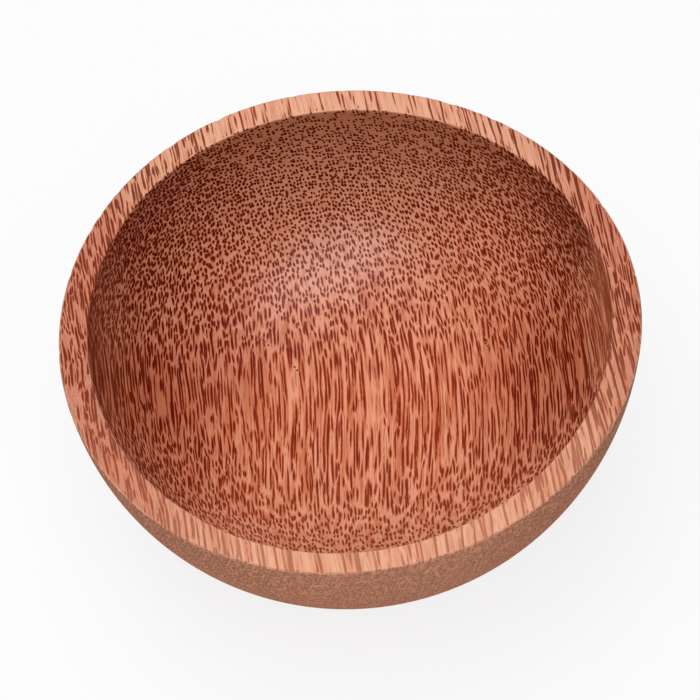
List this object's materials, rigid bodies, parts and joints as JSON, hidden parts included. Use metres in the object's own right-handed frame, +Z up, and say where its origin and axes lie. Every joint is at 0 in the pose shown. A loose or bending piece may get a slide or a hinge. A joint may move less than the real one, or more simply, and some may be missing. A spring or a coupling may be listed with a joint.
{
  "type": "salad bowl",
  "caption": "Round wooden salad bowl turned from a single block of palm wood, with a flat rim, a thick curved wall and a flat base to stand on.",
  "frame": {"origin": "centre of the flat base, on the surface the bowl stands on", "axes": "+Z up along the turning axis, out of the mouth; +X and +Y lie in the base, with the wood's fibre within about 10 degrees of Y"},
  "size_m": [0.15, 0.15, 0.06],
  "materials": {
    "palm_wood": "satin oiled inside and on the rim, dull outside"
  },
  "bodies": {
    "root": {"bowl": "palm_wood"}
  },
  "joints": []
}
